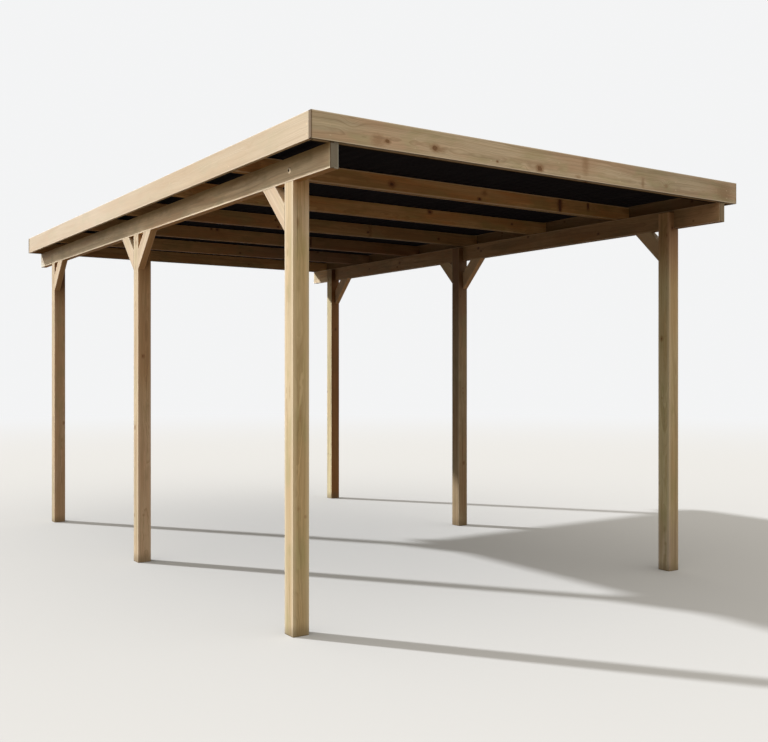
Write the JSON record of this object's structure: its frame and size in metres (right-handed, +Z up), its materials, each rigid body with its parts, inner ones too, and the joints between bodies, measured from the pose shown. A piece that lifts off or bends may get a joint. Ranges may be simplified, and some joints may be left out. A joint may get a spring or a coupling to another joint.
{
  "type": "carport",
  "caption": "Free-standing timber carport: a flat roof of dark ribbed sheets behind fascia boards, on rafters, long side beams and square posts with knee braces, open all round",
  "frame": {"origin": "on the ground, in the middle of the roof's plan", "axes": "+X right when looking in from the front, +Y to the rear, +Z up"},
  "size_m": [3.04, 5.05, 2.46],
  "materials": {
    "post_timber": "planed pressure-treated softwood, pale honey to olive, with knots and fine drying cracks",
    "beam_timber": "planed pressure-treated softwood, grey-brown on the long faces and greenish on the end grain",
    "brace_timber": "planed pressure-treated softwood, pale honey",
    "rafter_timber": "planed pressure-treated softwood, warm brown with dark knots",
    "fascia_timber": "planed pressure-treated softwood boards, pale olive-tan with cathedral grain and knots",
    "roof_sheet": "near-black ribbed roofing sheet with a dull sheen",
    "fastenings": "zinc-plated bolts, washers and screws"
  },
  "bodies": {
    "root": {"front_left_post": "post_timber", "middle_left_post": "post_timber", "rear_left_post": "post_timber", "front_right_post": "post_timber", "middle_right_post": "post_timber", "rear_right_post": "post_timber", "left_beam": "beam_timber", "right_beam": "beam_timber", "front_left_rearward_brace": "brace_timber", "middle_left_forward_brace": "brace_timber", "middle_left_rearward_brace": "brace_timber", "rear_left_forward_brace": "brace_timber", "front_right_rearward_brace": "brace_timber", "middle_right_forward_brace": "brace_timber", "middle_right_rearward_brace": "brace_timber", "rear_right_forward_brace": "brace_timber", "rafter_1": "rafter_timber", "rafter_2": "rafter_timber", "rafter_3": "rafter_timber", "rafter_4": "rafter_timber", "rafter_5": "rafter_timber", "rafter_6": "rafter_timber", "rafter_7": "rafter_timber", "front_fascia": "fascia_timber", "rear_fascia": "fascia_timber", "left_fascia": "fascia_timber", "right_fascia": "fascia_timber", "roof_sheet_1": "roof_sheet", "roof_sheet_2": "roof_sheet", "roof_sheet_3": "roof_sheet"}
  },
  "joints": []
}
